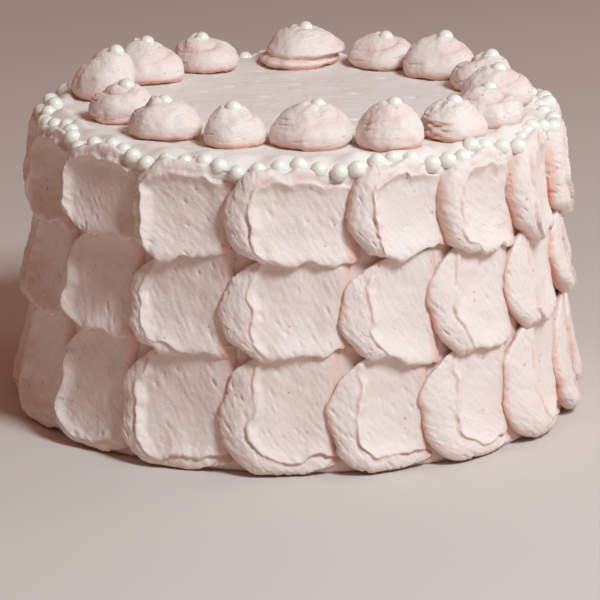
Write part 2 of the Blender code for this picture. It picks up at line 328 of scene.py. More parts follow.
def coat_outline():
    # Distance from the middle and height, from the middle of the top to that of the foot
    shoulder = np.linspace(0.0, 1.0, 9)
    top = [(reach, TOP_HEIGHT) for reach in np.arange(COAT_RING_PITCH, PLATEAU_RADIUS, COAT_RING_PITCH)]
    edge_height = TOP_HEIGHT - SHOULDER_DROP
    side_height = edge_height - 3.0 * MM
    turn = [
        (PLATEAU_RADIUS + 10.0 * MM * step, TOP_HEIGHT - SHOULDER_DROP * step ** 1.6)
        for step in shoulder
    ]
    side = [
        (core_radius(height) - SIDE_SETBACK, height)
        for height in np.linspace(side_height - 4.0 * MM, FOOT_ROUNDING, 90)
    ]
    side.insert(0, (core_radius(side_height), side_height))
    foot = [
        (core_radius(0.0) - SIDE_SETBACK - FOOT_ROUNDING, 0.0),
        (0.6 * CORE_FOOT_RADIUS, 0.0),
    ]
    return np.array(top + turn + side + foot)


def turned(outline, steps):
    angles = np.linspace(0.0, 2.0 * math.pi, steps, endpoint=False)
    reach = outline[:, 0][:, None]
    ring = np.stack(
        [
            reach * np.sin(angles),
            -reach * np.cos(angles),
            np.repeat(outline[:, 1][:, None], steps, axis=1),
        ],
        axis=-1,
    ).reshape(-1, 3)
    points = np.vstack([ring, [[0.0, 0.0, outline[0, 1]], [0.0, 0.0, outline[-1, 1]]]])
    faces = []
    for row in range(len(outline) - 1):
        for step in range(steps):
            beside = (step + 1) % steps
            near = row * steps
            far = near + steps
            faces.append((near + step, far + step, far + beside, near + beside))
    last = (len(outline) - 1) * steps
    middle = len(ring)
    for step in range(steps):
        beside = (step + 1) % steps
        faces.append((middle, step, beside))
        faces.append((middle + 1, last + beside, last + step))
    return points, faces


def bump_at(values, place, width):
    # A smooth bump of height one round a place
    return np.exp(-(((values - place) / width) ** 2))


def edge_kerb(points):
    # A low uneven ridge inside the pearls, left where the spatula was turned at the edge
    reach = np.hypot(points[:, 0], points[:, 1])
    bearing = np.arctan2(points[:, 1], points[:, 0])
    uneven = 0.6 + 0.30 * np.sin(9.0 * bearing) + 0.35 * np.sin(23.0 * bearing + 1.0)
    uneven = uneven + 0.35 * np.sin(41.0 * bearing + 2.0 + 260.0 * reach)
    width = np.where(reach < KERB_RADIUS, KERB_WIDTH, KERB_OUTER_WIDTH)
    ridge = bump_at(reach, KERB_RADIUS, width)
    return KERB_HEIGHT * uneven * ridge * (points[:, 2] > SIDE_TOP)


RELIEF = whipped_relief()
coat_finish = icing("coat_icing", COAT_LIGHT, ICING_PAINTED_SHADE_AND_TONE, 0.0011, 0.0034, 0.00022)

coat_points, coat_faces = turned(coat_outline(), COAT_STEPS)
coat_points[:, 2] += edge_kerb(coat_points)
lifted = np.clip((coat_points[:, 2] - SIDE_TOP) / (10.0 * MM), 0.0, 1.0)
# Painted shade: the coat's side below SIDE_TOP, seen only in the gaps between petals, is darkened
# toward the deep colour
coat = mesh_piece(
    "coat",
    coat_points,
    coat_faces,
    {
        "draw": np.stack(
            [coat_points[:, 0], coat_points[:, 1] + 0.12 * coat_points[:, 0], coat_points[:, 2]],
            axis=-1,
        ),
        "rough": 0.6 * lifted,
        "crease": np.where(coat_points[:, 2] < SIDE_TOP, SIDE_PAINTED_SHADE, 0.0),
    },
)
shaped_by(
    coat, RELIEF, coat_finish,
    lump_size=0.022, lump_height=0.0007, ripple_size=0.0026, ripple_height=0.0004,
    streak_length=0.012, streak_width=0.0022, streak_height=0.0003,
    pit_spacing=0.0045, pit_depth=0.0009,
)
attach(coat, "root")
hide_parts("cake_body")


# The petals
# The side is covered with three rows of petals of the same icing. A dot is piped, then
# pressed with a spatula and drawn to the right, and the next dot is piped over its end.
# Each has a round bead on its left, a thin rim, and a smear that thins to the right.

COLUMNS = 17
BEAD_HEIGHT = 7.6 * MM
BEAD_SPREAD = (0.92, 1.04)
RIM_WIDTH = 1.6 * MM
CREST_HEIGHT = 0.5 * MM
CREST_WIDTH = 1.5 * MM
SMEAR_HEIGHT = 8.8 * MM
SMEAR_SPREAD = (0.92, 1.05)
SMEAR_END_HEIGHT = -0.8 * MM
SMEAR_THIN_END = 8.0 * MM
HOLLOW_DEPTH = 2.9
HOLLOW_LOSS = 0.8
HOLLOW_WIDTH = 4.5 * MM
DISH_DEPTHS = (1.8, 2.8)
BURIED_DEPTH = 5.0 * MM
FULL_BEAD = 8.0 * MM
ROUND_END = 16.0 * MM
OUTLINE_SQUARENESS = 2.5
RIM_BOW = 4.0 * MM
RIM_CORNER = 9.0 * MM
RIM_WAVE = 1.8 * MM
RIM_WAVELENGTH = 22.0 * MM
RIM_RIPPLES = (0.05, 0.2)
RIM_RIPPLE_LENGTH = 5.0 * MM
ROLL_DROP = 1.2 * MM
FOOT_ROLL = 5.5 * MM
ROLL_WAVE = 1.5 * MM
ROLL_WAVELENGTH = 21.0 * MM
ROLL_RIPPLE = 0.12 * MM
ROLL_RIPPLE_LENGTH = 7.0 * MM
TOP_LEDGE = 3.6 * MM
LEDGE_WAVE = 0.8 * MM
LEDGE_WAVELENGTH = 13.0 * MM
LIP_FLARE = 1.7 * MM
LIP_FLARE_HEIGHT = 5.0 * MM
LIP_WAVE = 1.4 * MM
LIP_WAVELENGTH = 21.0 * MM
LIP_RIPPLE = 0.2 * MM
LIP_RIPPLE_LENGTH = 6.0 * MM
CROWN_WAVE = 1.2 * MM
CROWN_WAVELENGTH = 22.0 * MM
EDGE_WAVE = 1.1 * MM
EDGE_WAVELENGTH = 24.0 * MM
EDGE_WAVE_REACH = 7.0 * MM
GROOVE_DEPTH = 0.9 * MM
GROOVE_WAVELENGTH = 19.0 * MM
STREAK_TILTS = (-1.1, -0.5)
PETAL_TUCK = 5.0 * MM
TUCK_START = 0.4
PETAL_OVERLAP = 10.0 * MM
PETAL_DIVE = 9.0 * MM
TOP_FALL = 2.6 * MM
PETAL_DEPTH = 5.0 * MM
PETAL_RADIUS = 108.0 * MM
PETAL_STATIONS = 118
PETAL_FACE_POINTS = 84
PETAL_BACK_POINTS = 7
PETALS_IN_A_PIECE = 5

# Each row lists its petals from the far left to the right: the angle of each petal's left
# edge, then in mm the width of its bead and the heights of its foot, of its foot's far
# end and of its crown, and last how far along it the bead's roll shows below the rim.
# Lean is how much of their thickness the petals lose towards their top, and rise_from is
# where the foot starts on its way to the far end's height. Rolls, lean and rise_from are
# shares.
ROWS = (
    {
        "name": "top",
        "lean": 0.30,
        "rise_from": 0.35,
        "edges": (-80.0, -59.0, -37.0, -15.7, 10.1, 30.6, 51.4, 71.5),
        "beads": (7.0, 3.5, 5.0, 9.0, 8.0, 6.0, 8.0, 8.0),
        "feet": (78.0, 81.0, 76.5, 77.5, 78.0, 75.5, 74.0, 75.0),
        "ends": (80.0, 82.0, 83.0, 77.0, 82.0, 75.0, 76.0, 78.0),
        "crowns": (113.0, 113.0, 112.5, 111.5, 113.0, 112.0, 113.0, 112.0),
        "rolls": (0.35, 0.30, 0.30, 0.40, 0.35, 0.55, 0.35, 0.40),
    },
    {
        "name": "middle",
        "lean": 0.80,
        "rise_from": 0.35,
        "edges": (-80.5, -58.7, -37.4, -16.3, 8.2, 27.8, 48.7, 70.0),
        "beads": (7.0, 3.5, 6.0, 10.5, 9.5, 9.5, 14.0, 9.0),
        "feet": (44.0, 45.0, 42.0, 43.0, 42.0, 40.0, 43.0, 47.0),
        "ends": (45.0, 45.0, 43.5, 46.0, 36.0, 41.0, 45.0, 45.0),
        "crowns": (78.0, 79.0, 77.0, 77.0, 75.0, 79.0, 78.0, 80.0),
        "rolls": (0.45, 0.45, 0.85, 0.45, 0.50, 0.50, 0.40, 0.40),
    },
    {
        "name": "bottom",
        "lean": 0.80,
        "rise_from": 0.60,
        "edges": (-80.0, -58.6, -38.3, -15.9, 5.7, 25.1, 46.3, 68.0),
        "beads": (7.5, 4.0, 7.0, 11.0, 9.5, 13.0, 16.0, 10.0),
        "feet": (1.0, 1.2, 0.8, 0.8, 1.0, 0.8, 1.2, 1.0),
        "ends": (6.0, 5.5, 6.0, 6.5, 6.0, 5.0, 5.5, 5.5),
        "crowns": (42.0, 43.0, 42.0, 43.0, 41.0, 40.0, 42.0, 44.0),
        "rolls": (1.6, 1.6, 1.8, 1.5, 1.5, 1.4, 1.6, 1.6),
    },
)


def petal_values(row, column, rng):
    count = len(row["edges"])
    if column < count:
        return [row[key][column] for key in ("edges", "beads", "feet", "ends", "crowns", "rolls")]
    first = row["edges"][0] + 360.0
    last = row["edges"][-1]
    pitch = (first - last) / (COLUMNS - count + 1)
    edge = last + pitch * (column - count + 1) + rng.uniform(-1.6, 1.6)
    shown = 4 if row["name"] != "bottom" else 3
    lift = 0.0 if row["name"] == "bottom" else rng.uniform(-2.0, 2.5)
    return [
        edge,
        rng.uniform(5.0, 13.0),
        row["feet"][shown] + lift,
        row["ends"][0] + lift * 0.5,
        row["crowns"][0] + rng.uniform(-1.5, 1.0),
        row["rolls"][column % count],
    ]


def wander(values, wavelength, rng):
    # An uneven wave between about -1 and 1, made of a few sines
    total = np.zeros_like(values)
    for share in (1.0, 0.61, 0.37, 0.23):
        phase = rng.uniform(0.0, 2.0 * math.pi)
        total = total + share ** 1.4 * np.sin(2.0 * math.pi * values / (wavelength * share) + phase)
    return total / 1.6


def eased(values, low, high):
    share = np.clip((values - low) / (high - low), 0.0, 1.0)
    return share * share * (3.0 - 2.0 * share)


def inside_rim(left, low, corner):
    # Distance in from a rim that comes down the left, turns a round corner and runs right
    from_left = np.clip(corner - left, 0.0, None)
    from_low = np.clip(corner - low, 0.0, None)
    round_corner = corner - np.hypot(from_left, from_low)
    return np.where((left < corner) & (low < corner), round_corner, np.minimum(left, low))


def petal_stand(along, inside, bead, length, bead_height, smear_height, groove):
    # How far the face stands out: the round bead, which runs on under the smear as a roll,
    # then the thin crest that the spatula pushed up over it, and the hollowed smear
    fullness = min(1.0, bead / FULL_BEAD)
    reach = bead + 0.5 * MM
    thin = length - SMEAR_THIN_END
    rise = bead_height * np.sqrt(1.0 - (1.0 - np.clip(along / reach, 0.0, 1.0)) ** 2)
    share = np.clip((along - bead - RIM_WIDTH) / (thin - bead - RIM_WIDTH), 0.0, 1.0)
    smear = SMEAR_END_HEIGHT + (smear_height - SMEAR_END_HEIGHT) * (1.0 - share) ** 0.95
    roll = rise + (smear - ROLL_DROP - rise) * eased(along, bead, 2.0 * bead + 8.0 * MM)
    roll = roll - GROOVE_DEPTH * groove * bump_at(inside, -0.6 * MM, 1.4 * MM)
    within = np.maximum(inside, 0.0)
    crest_line = CREST_HEIGHT * np.exp(-within / CREST_WIDTH)
    hollow = (HOLLOW_DEPTH - HOLLOW_LOSS * fullness) * MM * (1.0 - np.exp(-within / HOLLOW_WIDTH))
    hollow = hollow * (1.0 - eased(share, 0.3, 0.9))
    pressed = smear + crest_line - hollow
    return roll + (pressed - roll) * eased(inside, -0.25 * MM, 0.45 * MM)


def lip_section(count_face, count_back):
    # Points round a petal's cut across: even steps over its squarish face, then its back
    turn = np.linspace(0.0, math.pi, 2000)
    across = np.sign(np.cos(turn)) * np.abs(np.cos(turn)) ** 0.5
    out = np.sin(turn).clip(0.0) ** 0.5
    steps = np.hypot(np.diff(across) * 18.0, np.diff(out) * 7.0)
    steps = steps * np.where(across[1:] < -0.3, 1.8, 1.0)
    walked = np.concatenate([[0.0], np.cumsum(steps)])
    wanted = np.linspace(0.0, walked[-1], count_face)
    face = np.stack([np.interp(wanted, walked, across), np.interp(wanted, walked, out)])
    back_turn = np.linspace(math.pi, 2.0 * math.pi, count_back + 2)[1:-1]
    back = np.stack([np.cos(back_turn), np.sin(back_turn)])
    section = np.concatenate([face, back], axis=1)
    return section[0], section[1]


def petal_stations(bead, length):
    # Distances along a petal from its left edge, closest together round its bead
    start = min(bead + 4.0 * MM, ROUND_END * 0.95)
    start_turn = math.acos(1.0 - start / ROUND_END)
    start_count = int(PETAL_STATIONS * 0.42)
    bent = ROUND_END * (1.0 - np.cos(np.linspace(0.0, start_turn, start_count, endpoint=False)))
    straight = np.linspace(start, length, PETAL_STATIONS - start_count)
    return np.concatenate([bent, straight])[1:-1, None]


def petal_outline(values, length, row, row_tuck, along, across, rng):
    # The height of every point, and along the petal its foot, its top and its roundness
    foot, end, crown = values[2:5]
    lip = np.interp(along, (row["rise_from"] * length, length), (foot, end)) * MM
    before = np.clip(1.0 - along / ROUND_END, 0.0, 1.0)
    fill = (1.0 - before ** OUTLINE_SQUARENESS) ** (1.0 / OUTLINE_SQUARENESS)
    tuck = np.clip(along / ROUND_END - TUCK_START, 0.0, 1.0) * row_tuck
    top = crown * MM + tuck
    thinned = eased(along, 0.45 * length, 0.8 * length)
    if row["name"] == "top":
        # Its thin covered end stays under the edge of the coat
        top = top - TOP_FALL * thinned
    height = 0.5 * (top + lip) + 0.5 * (top - lip) * fill * across
    low_edge = np.clip(-across, 0.0, 1.0)
    high_edge = np.clip(across, 0.0, 1.0)
    if row["name"] != "bottom":
        height = height + LIP_WAVE * wander(along, LIP_WAVELENGTH, rng) * low_edge ** 5 * fill
        height = height + LIP_RIPPLE * wander(along, LIP_RIPPLE_LENGTH, rng) * low_edge ** 16
    if row["name"] == "top":
        crown_wave = CROWN_WAVE * wander(along, CROWN_WAVELENGTH, rng) * (1.0 - 0.7 * thinned)
        height = height + crown_wave * high_edge ** 5 * fill
    return height, lip, top, fill


def petal_rim(values, length, on_top, along, height, lip, top, rng):
    # How far each point is inside the rim of the pressed part, and how much of the bead's
    # roll still shows below it. The rim's left side wanders with height, its foot along the
    # petal.
    bead = values[1] * MM
    ripple = rng.uniform(*RIM_RIPPLES) * MM
    torn = RIM_WAVE * wander(height, RIM_WAVELENGTH, rng)
    torn = torn + ripple * wander(height, RIM_RIPPLE_LENGTH, rng)
    roll_height = np.clip(0.6 * bead, 3.0 * MM, FOOT_ROLL)
    roll_end = values[5] * length
    roll_height = roll_height - (roll_height + 4.0 * MM) * eased(along, 0.35 * roll_end, roll_end)
    worn = ROLL_WAVE * wander(along, ROLL_WAVELENGTH, rng)
    worn = worn + ROLL_RIPPLE * wander(along, ROLL_RIPPLE_LENGTH, rng)
    up_from_rim = height - lip - roll_height + worn
    if on_top:
        ledge = TOP_LEDGE + LEDGE_WAVE * wander(along, LEDGE_WAVELENGTH, rng)
        up_from_rim = np.minimum(up_from_rim, top - ledge - height)
    inside = inside_rim(along + torn - bead - RIM_WIDTH, up_from_rim, RIM_CORNER)
    return inside, eased(roll_height, -3.0 * MM, 2.0 * MM)


def petal_painted_shade(length, on_foot, along, across, face, inside, groove, above_lip):
    # Painted shade: the icing's colour is darkened toward the deep colour in its groove, under its lip
    # and at both its ends, where shade falls
    in_groove = bump_at(inside, -0.5 * MM, 0.6 * MM) * groove
    under = np.clip(1.0 - face / 0.55, 0.0, 1.0) * np.clip(-across, 0.0, 1.0)
    covered = eased(along, length - 12.0 * MM, length - 6.0 * MM)
    beginning = bump_at(along, 0.0, 1.6 * MM)
    tail = bump_at(along, length - PETAL_OVERLAP + 1.5 * MM, 2.6 * MM)
    tail = tail * bump_at(above_lip, 0.0, 3.5 * MM)
    if on_foot:
        under = under * (1.0 - eased(along, length - 18.0 * MM, length - 10.0 * MM))
        tail = 0.0 * tail
    return 0.40 * in_groove + 0.60 * under + 0.35 * covered + 0.45 * beginning + 0.4 * tail


def ring_faces(rings, around):
    # Four-sided faces between rings of points, and a fan to a point of its own at each end
    grid = np.arange(rings * around).reshape(rings, around)
    beside = np.roll(grid, -1, axis=1)
    quads = np.stack([grid[:-1], beside[:-1], beside[1:], grid[1:]], axis=-1).reshape(-1, 4)
    caps = []
    for step in range(around):
        after = (step + 1) % around
        caps.append((rings * around, grid[0, after], grid[0, step]))
        caps.append((rings * around + 1, grid[-1, step], grid[-1, after]))
    return quads, np.array(caps)


def petal_mesh(values, length, row, row_tuck, index):
    rng = random.Random(100 + index)
    edge = math.radians(values[0])
    bead = values[1] * MM
    bead_height = BEAD_HEIGHT * rng.uniform(*BEAD_SPREAD)
    smear_height = SMEAR_HEIGHT * rng.uniform(*SMEAR_SPREAD)
    on_foot = row["name"] == "bottom"
    on_top = row["name"] == "top"
    across, out = lip_section(PETAL_FACE_POINTS, PETAL_BACK_POINTS)
    across = across[None, :]
    out = out[None, :]
    along = petal_stations(bead, length)
    height, lip, top, fill = petal_outline(values, length, row, row_tuck, along, across, rng)
    edge_shift = bump_at(along, 0.0, EDGE_WAVE_REACH) * EDGE_WAVE
    edge_shift = edge_shift * wander(height, EDGE_WAVELENGTH, rng)
    inside, rolled = petal_rim(values, length, on_top, along, height, lip, top, rng)
    above_lip = height - lip
    face = np.clip(out, 0.0, 1.0)
    face = np.where(across < 0.0, face ** (1.0 + 0.7 * rolled), face)
    groove = np.clip(0.55 + 0.8 * wander(height + along, GROOVE_WAVELENGTH, rng), 0.0, 1.4)
    groove = groove * min(1.0, bead / FULL_BEAD)
    stand = petal_stand(along, inside, bead, length, bead_height, smear_height, groove)
    fallen = 0.5 * (1.0 + across * fill)
    lean = 1.0 - row["lean"] * (1.0 - (1.0 - fallen) ** 2)
    on_smear = eased(inside, 0.0, 4.0 * MM)
    fading = 1.0 - eased(along, 0.6 * length, 0.9 * length)
    dish = rng.uniform(*DISH_DEPTHS) * MM * (1.0 - across ** 2) * on_smear * fading
    flare = LIP_FLARE * bump_at(above_lip, 0.0, LIP_FLARE_HEIGHT) * on_smear * (1.0 - rolled)
    outward = (stand * lean - dish + flare) * face
    outward = np.where(out < 0.0, PETAL_DEPTH * np.minimum(out, 0.0), outward)
    outward = outward - BURIED_DEPTH * eased(along, length - PETAL_DIVE, length)
    bow = RIM_BOW * (across * fill) ** 2 * (1.0 - along / length)
    angle = edge + (along + bow + edge_shift) / PETAL_RADIUS
    radius = core_radius(height) + outward
    points = np.stack([radius * np.sin(angle), -radius * np.cos(angle), height], axis=-1)
    # Painted shade, kept in the crease attribute
    crease = petal_painted_shade(length, on_foot, along, across, face, inside, groove, above_lip)
    # The streaks slope down to the right, at a place of their own for each petal
    tilt = rng.uniform(*STREAK_TILTS)
    drawn = np.stack(
        [
            along * math.cos(tilt) + height * math.sin(tilt),
            height * math.cos(tilt) - along * math.sin(tilt),
            np.full_like(height, 0.05 * index),
        ],
        axis=-1,
    )
    rough = 1.5 - 0.8 * on_smear
    quads, caps = ring_faces(*height.shape)
    ends = np.zeros(2)
    return (
        np.vstack([points.reshape(-1, 3), points[0].mean(axis=0), points[-1].mean(axis=0)]),
        quads,
        caps,
        np.vstack([drawn.reshape(-1, 3), drawn[0, 0], drawn[-1, 0]]),
        np.concatenate([rough.ravel(), ends]),
        np.concatenate([crease.ravel(), ends]),
    )


def facing_out(points, faces):
    # Turns the faces round if the solid that they close has a negative volume
    total = 0.0
    for face in faces:
        for corner in range(1, face.shape[1] - 1):
            a, b, c = (points[face[:, i]] for i in (0, corner, corner + 1))
            total += float(np.einsum("ij,ij->", a, np.cross(b, c)))
    if total < 0.0:
        faces = [face[:, ::-1] for face in faces]
    return faces


petal_finish = icing("petal_icing", ICING_LIGHT, ICING_PAINTED_SHADE_AND_TONE, 0.0010, 0.0032, 0.00026)
draw_rng = random.Random(11)
for row_index, row in enumerate(ROWS):
    row_tuck = 0.0 if row["name"] == "top" else PETAL_TUCK
    columns = [petal_values(row, column, draw_rng) for column in range(COLUMNS)]
    made = []
    for column, values in enumerate(columns):
        following = columns[(column + 1) % COLUMNS][0]
        span = math.radians((following - values[0]) % 360.0) * PETAL_RADIUS
        index = row_index * COLUMNS + column
        made.append(petal_mesh(values, span + PETAL_OVERLAP, row, row_tuck, index))
    for first in range(0, COLUMNS, PETALS_IN_A_PIECE):
        points, faces, drawn, rough, crease = [], [], [], [], []
        count = 0
        for petal in made[first:first + PETALS_IN_A_PIECE]:
            quads, caps = facing_out(petal[0], [petal[1], petal[2]])
            faces += (quads + count).tolist() + (caps + count).tolist()
            points.append(petal[0])
            drawn.append(petal[3])
            rough.append(petal[4])
            crease.append(petal[5])
            count += len(petal[0])
        group = mesh_piece(
            "petals_%s_%d" % (row["name"], first // PETALS_IN_A_PIECE + 1),
            np.vstack(points),
            faces,
            {
                "draw": np.vstack(drawn),
                "rough": np.concatenate(rough),
                "crease": np.concatenate(crease),
            },
        )
        shaped_by(
            group, RELIEF, petal_finish,
            lump_size=0.012, lump_height=0.0009, ripple_size=0.0022, ripple_height=0.00030,
            streak_length=0.0065, streak_width=0.0016, streak_height=0.00034,
            pit_spacing=0.0022, pit_depth=0.0005,
        )
        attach(group, "root")
        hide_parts("cake_body")


# The pearls on the edge
# Small sugar pearls are laid by hand in a wavy line round the top edge, between the
# dollops and the petals. They are boiled sugar with a lustre coat, pressed about halfway
# into the soft icing.

PEARL_RADIUS = 3.0 * MM
PEARL_RING_RADIUS = 94.0 * MM
PEARL_RING_HEIGHT = 112.3 * MM
PEARL_PITCH = 7.0 * MM
PEARL_WAVES = 16
PEARL_WAVE = 2.4 * MM
PEARL_WAVE_START = math.radians(10.5)
PEARL_FALL = 0.45
PEARL_SLIP = 0.07
PEARL_STRAY = 0.8 * MM
PEARL_SETTLING = 1.7 * MM
PEARL_WHITE = (0.90, 0.88, 0.83)
PEARL_SHADE = (0.79, 0.78, 0.66)


def edge_pearl_places():
    rng = random.Random(5)
    sinks = random.Random(6)
    count = int(2.0 * math.pi * PEARL_RING_RADIUS / PEARL_PITCH)
    places = []
    for index in range(count):
        angle = 2.0 * math.pi * (index + rng.uniform(-PEARL_SLIP, PEARL_SLIP)) / count
        wave = PEARL_WAVE * math.cos(PEARL_WAVES * (angle - PEARL_WAVE_START))
        out = wave + rng.uniform(-PEARL_STRAY, PEARL_STRAY)
        radius = PEARL_RING_RADIUS + out
        height = PEARL_RING_HEIGHT - PEARL_FALL * out - sinks.uniform(0.0, PEARL_SETTLING)
        places.append((radius * math.sin(angle), -radius * math.cos(angle), height))
    return places


def pearl_tree():
    tree = geometry_tree(
        "pearls_on_points", {"Pearl Radius": 0.003, "Size Spread": 0.05, "Seed": 3}
    )
    entry = add_node(tree, "NodeGroupInput")
    leave = add_node(tree, "NodeGroupOutput")
    ball = add_node(tree, "GeometryNodeMeshIcoSphere")
    ball.inputs["Subdivisions"].default_value = 4
    tree.links.new(entry.outputs["Pearl Radius"], ball.inputs["Radius"])
    smooth = add_node(tree, "GeometryNodeSetShadeSmooth")
    tree.links.new(ball.outputs["Mesh"], smooth.inputs["Geometry"])
    spread = add_node(tree, "FunctionNodeRandomValue", data_type="FLOAT")
    tree.links.new(maths(tree, "SUBTRACT", 1.0, entry.outputs["Size Spread"]), spread.inputs[2])
    tree.links.new(maths(tree, "ADD", 1.0, entry.outputs["Size Spread"]), spread.inputs[3])
    tree.links.new(entry.outputs["Seed"], spread.inputs["Seed"])
    laid = add_node(tree, "GeometryNodeInstanceOnPoints")
    tree.links.new(entry.outputs["Geometry"], laid.inputs["Points"])
    tree.links.new(smooth.outputs[0], laid.inputs["Instance"])
    tree.links.new(spread.outputs[1], laid.inputs["Scale"])
    realized = add_node(tree, "GeometryNodeRealizeInstances")
    tree.links.new(laid.outputs[0], realized.inputs[0])
    finish = add_node(tree, "GeometryNodeSetMaterial")
    tree.links.new(realized.outputs[0], finish.inputs["Geometry"])
    tree.links.new(entry.outputs["Finish"], finish.inputs["Material"])
    tree.links.new(finish.outputs[0], leave.inputs[0])
    return tree


def pearl_material():
    material = bpy.data.materials.new("sugar_pearl")
    material.use_nodes = True
    tree = material.node_tree
    shader = tree.nodes["Principled BSDF"]
    place = add_node(tree, "ShaderNodeTexCoord").outputs["Object"]
    cloud = noise_about_zero(tree, place, 0.004, 2.0)
    amount = maths(tree, "MULTIPLY_ADD", cloud, 0.5, 0.35)
    amount = maths(tree, "MINIMUM", maths(tree, "MAXIMUM", amount, 0.0), 1.0)
    tree.links.new(
        mixed_colour(tree, amount, PEARL_WHITE, PEARL_SHADE), shader.inputs["Base Color"]
    )
    worn = maths(tree, "MULTIPLY_ADD", cloud, 0.06, 0.33)
    tree.links.new(worn, shader.inputs["Roughness"])
    fine = noise_about_zero(tree, place, 0.0007, 2.0)
    bump = add_node(tree, "ShaderNodeBump")
    bump.inputs["Distance"].default_value = 0.00003
    tree.links.new(fine, bump.inputs["Height"])
    tree.links.new(bump.outputs[0], shader.inputs["Normal"])
    shader.inputs["Specular IOR Level"].default_value = 0.6
    shader.inputs["Coat Weight"].default_value = 0.45
    shader.inputs["Coat Roughness"].default_value = 0.18
    shader.inputs["Subsurface Weight"].default_value = 0.2
    shader.inputs["Subsurface Radius"].default_value = (1.0, 0.9, 0.7)
    shader.inputs["Subsurface Scale"].default_value = 0.0015
    return material


def laid_pearls(name, places, seed):
    piece = mesh_piece(name, np.array(places), [], {})
    shaped_by(piece, PEARLS, pearl_finish, pearl_radius=PEARL_RADIUS, size_spread=0.05, seed=seed)
    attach(piece, "root")
    return piece


PEARLS = pearl_tree()
pearl_finish = pearl_material()
edge_pearls = laid_pearls("edge_pearls", edge_pearl_places(), 3)
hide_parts("cake_body")


# The dollops
# A ring of dollops is piped from the same icing with a plain round nozzle. Each is one
# rope of icing wound once or twice, the upper turn narrower, and pulled off into a
# short peak that leans where the nozzle left it.

DOLLOP_GAP = 0.4 * MM
DOLLOP_LIGHT = (0.830, 0.735, 0.692)
# The angle of each dollop, then in mm its distance from the middle, its width, its height,
# and how far its peak leans to the right and away
DOLLOPS = (
    (4.2, 65.5, 29.6, 15.4, 1.4, 0.7),
    (25.5, 76.0, 25.2, 16.7, 0.9, 0.5),
    (46.2, 77.5, 25.2, 13.8, -0.2, 1.2),
    (66.2, 77.5, 26.0, 14.5, -1.6, -1.0),
    (92.0, 75.0, 27.0, 14.0, -0.6, 0.6),
    (113.0, 76.0, 26.0, 13.6, 3.0, -0.6),
    (134.0, 76.0, 27.6, 16.0, 1.4, 0.3),
    (155.2, 77.0, 27.0, 12.6, 1.0, -0.7),
    (179.0, 74.0, 33.0, 15.2, 0.5, 0.7),
    (209.5, 73.0, 26.0, 13.5, -2.8, -0.7),
    (233.0, 71.5, 26.0, 15.8, -2.4, 1.1),
    (259.0, 75.0, 26.4, 18.5, 3.6, -0.6),
    (290.5, 70.2, 25.0, 13.5, 1.1, 0.5),
    (316.0, 69.0, 29.0, 13.3, -1.7, -0.2),
    (340.3, 69.0, 23.2, 14.0, -1.3, 1.6),
)
DOLLOP_AROUND = 132
DOLLOP_RINGS = 84
PEARL_SIDE = 1.0 * MM
PEARL_SINK = 1.9 * MM
ROPE_CREASE = 2.0 * MM
ROPE_TURNS = (1.2, 1.9)
ROPE_BOLDNESS = (0.7, 1.35)
TWO_DISCS = 9
DISC_LEVEL = 0.25
DISC_GAP = 2.1 * MM
DISC_SLIP = 2.9 * MM
DISC_BACK = 1.2 * MM
TORN = 3
TORN_TURN = 3.95
TORN_DEPTH = 2.2 * MM
MARKS = 18
CROWN_MARKS = 5
# Between what limits a mark's turn lies, and in mm its reach, its height and its size
CROWN_MARK = ((1.2, 4.8), (2.6, 5.0), (0.3, 1.0), (1.4, 2.1))
SIDE_MARK = ((0.0, 2.0 * math.pi), (5.0, 13.0), (-0.9, 0.5), (1.2, 2.6))
# Half of a dollop cut through its middle, in shares of its width and of its height
MOUND = (
    (0.0, 0.89), (0.08, 0.915), (0.16, 0.915), (0.24, 0.865), (0.32, 0.775), (0.40, 0.64),
    (0.46, 0.48), (0.495, 0.32), (0.50, 0.19), (0.485, 0.08), (0.44, 0.0),
)


def mound_outline(width, height):
    # Even steps down the mound's side, from its peak to its foot
    shares = np.array(MOUND)
    outline = np.stack([shares[:, 0] * width, shares[:, 1] * height], axis=-1)
    walked = np.concatenate([[0.0], np.cumsum(np.hypot(*np.diff(outline, axis=0).T))])
    wanted = np.linspace(0.0, walked[-1], DOLLOP_RINGS)
    reach = np.interp(wanted, walked, outline[:, 0])
    rise = np.interp(wanted, walked, outline[:, 1])
    for _ in range(6):
        reach[1:-1] = 0.25 * (reach[:-2] + 2.0 * reach[1:-1] + reach[2:])
        rise[1:-1] = 0.25 * (rise[:-2] + 2.0 * rise[1:-1] + rise[2:])
    return reach, rise, wanted / walked[-1]


def own_form(index, turn, down, level):
    # Two dollops have a form of their own: how far the side is set in at each point, how far
    # it is pushed to the right, and how much painted shade darkens its colour in the gap or the tear
    none = np.zeros_like(turn + down)
    if index == TWO_DISCS:
        # The nozzle stopped and slipped, and left a disc with the rest of the rope on it
        gap = bump_at(level, DISC_LEVEL, 0.075) + none
        pushed = DISC_SLIP * eased(level, 0.18, 0.36) - DISC_BACK
        pushed = pushed * (1.0 - eased(level, 0.5, 0.9)) + none
        return DISC_GAP * gap, pushed, 0.40 * gap ** 2
    if index == TORN:
        # Its foot tore open at the left as the nozzle left it
        ragged = 0.7 + 0.3 * np.sin(8.0 * turn) * np.sin(45.0 * down)
        opened = np.exp(-(((turn - TORN_TURN) / 0.6) ** 4)) * eased(down, 0.60, 0.68) * ragged
        return TORN_DEPTH * opened, none, 0.4 * opened
    return none, none, none


